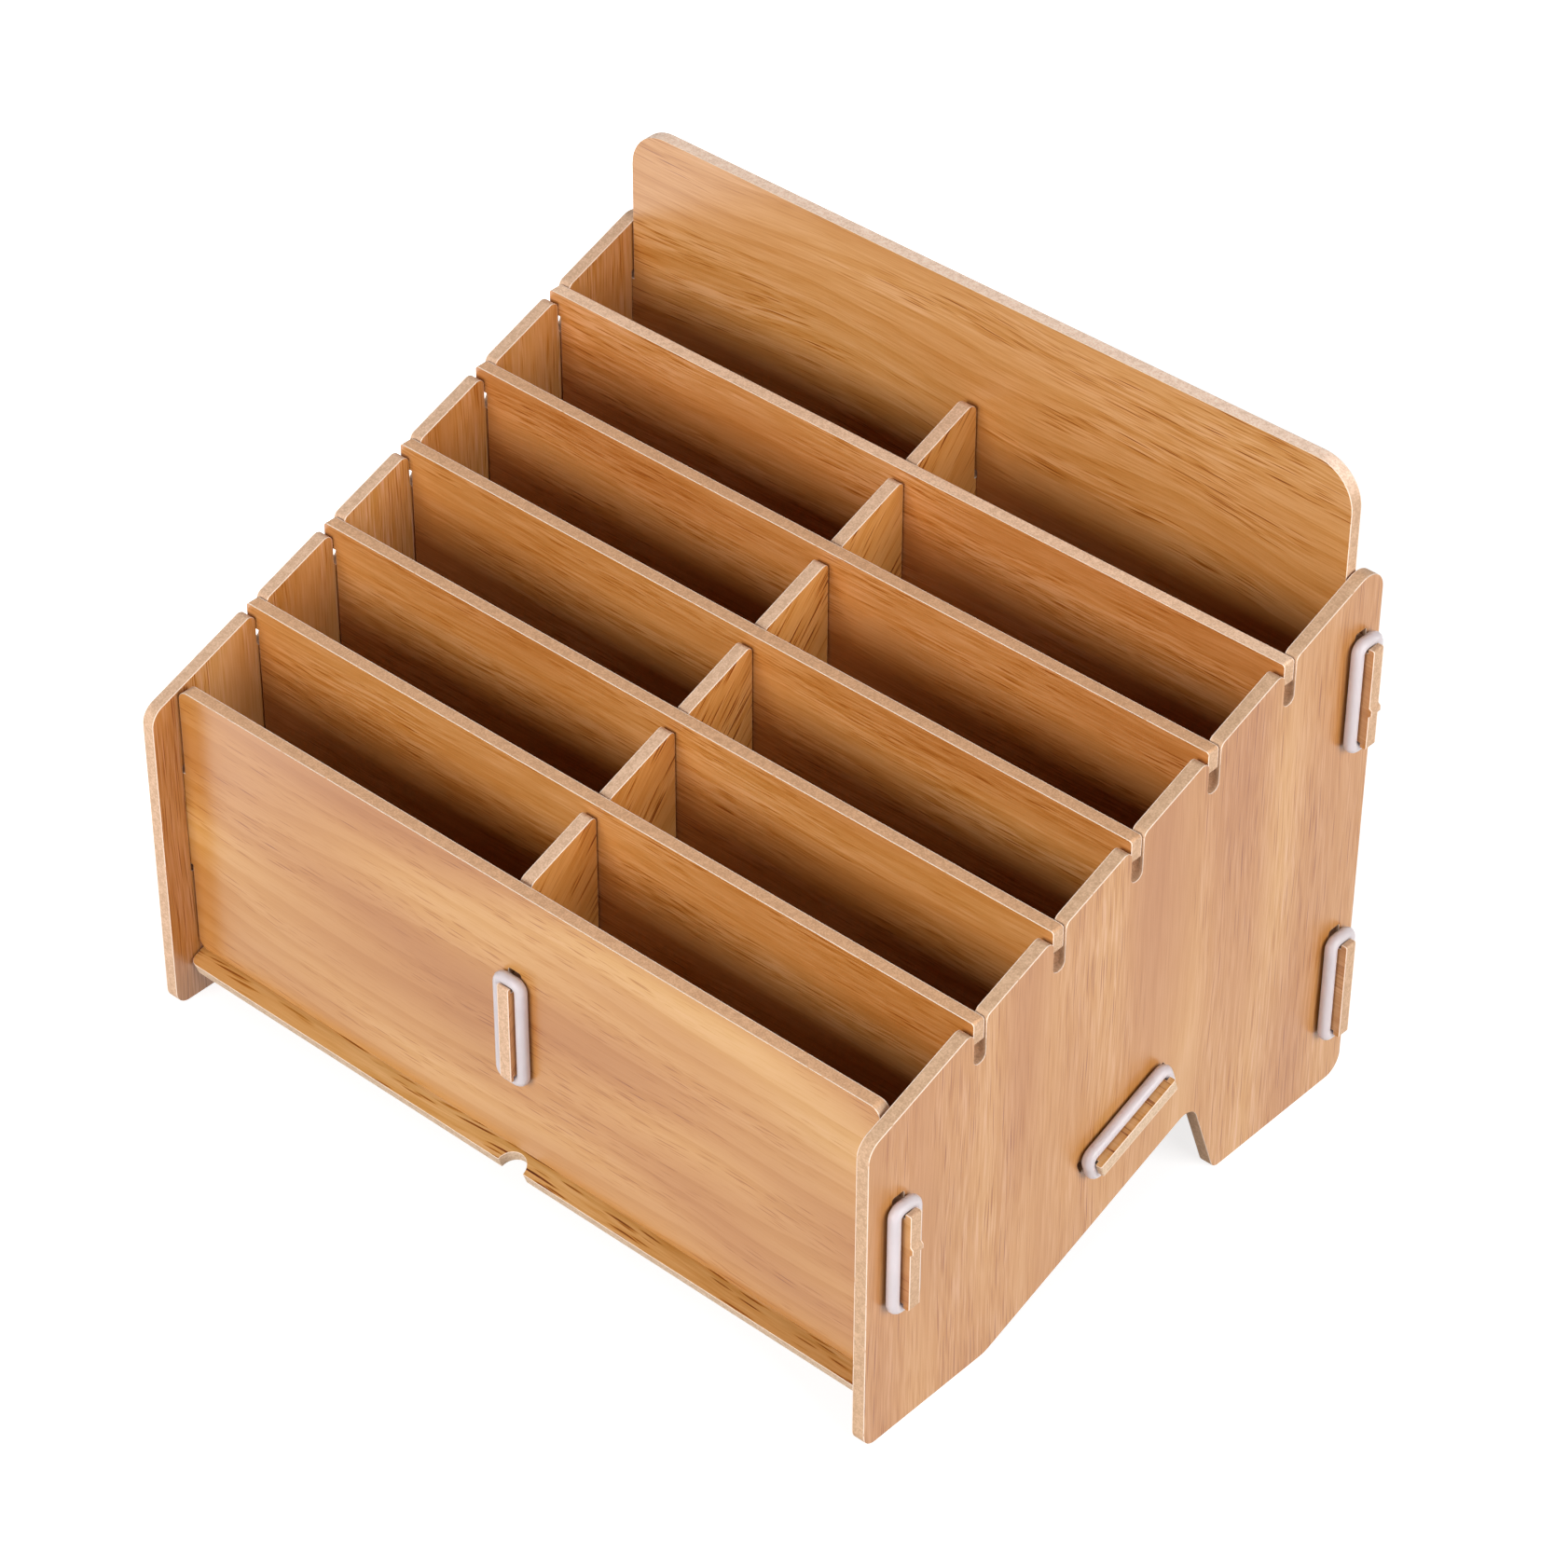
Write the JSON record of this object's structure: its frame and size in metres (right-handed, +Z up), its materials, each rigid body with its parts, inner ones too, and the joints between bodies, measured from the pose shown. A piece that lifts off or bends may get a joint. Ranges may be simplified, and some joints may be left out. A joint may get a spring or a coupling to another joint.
{
  "type": "compartment storage box",
  "caption": "Raked desktop storage box of wood-grain laminated board: rows of open compartments with lift-out cross dividers, boards held by tabs, slots and elastic rings.",
  "frame": {"origin": "on the table, under the middle of the box", "axes": "+X to the user's right along the rows, +Y from the low front to the tall back, +Z up"},
  "size_m": [0.2104, 0.1526, 0.1556],
  "materials": {
    "laminated_board": "satin oak-grain laminate with raw cut edges",
    "elastic_ring": "milky satin silicone"
  },
  "bodies": {
    "box": {"front_panel": "laminated_board", "back_panel": "laminated_board", "bottom_panel": "laminated_board", "centre_divider": "laminated_board", "centre_front_ring": "elastic_ring", "centre_rear_ring": "elastic_ring", "left_side_panel": "laminated_board", "front_ring_left": "elastic_ring", "upper_back_ring_left": "elastic_ring", "lower_back_ring_left": "elastic_ring", "bottom_ring_left": "elastic_ring", "right_side_panel": "laminated_board", "front_ring_right": "elastic_ring", "upper_back_ring_right": "elastic_ring", "lower_back_ring_right": "elastic_ring", "bottom_ring_right": "elastic_ring"},
    "cross_divider_1": {"cross_divider_1": "laminated_board"},
    "cross_divider_2": {"cross_divider_2": "laminated_board"},
    "cross_divider_3": {"cross_divider_3": "laminated_board"},
    "cross_divider_4": {"cross_divider_4": "laminated_board"},
    "cross_divider_5": {"cross_divider_5": "laminated_board"}
  },
  "joints": [
    {"name": "cross_divider_1_lift", "type": "slide", "parent": "box", "child": "cross_divider_1", "axis": [0, 0, 1], "range_m": [0, 0.07]},
    {"name": "cross_divider_2_lift", "type": "slide", "parent": "box", "child": "cross_divider_2", "axis": [0, 0, 1], "range_m": [0, 0.07]},
    {"name": "cross_divider_3_lift", "type": "slide", "parent": "box", "child": "cross_divider_3", "axis": [0, 0, 1], "range_m": [0, 0.07]},
    {"name": "cross_divider_4_lift", "type": "slide", "parent": "box", "child": "cross_divider_4", "axis": [0, 0, 1], "range_m": [0, 0.07]},
    {"name": "cross_divider_5_lift", "type": "slide", "parent": "box", "child": "cross_divider_5", "axis": [0, 0, 1], "range_m": [0, 0.07]}
  ]
}
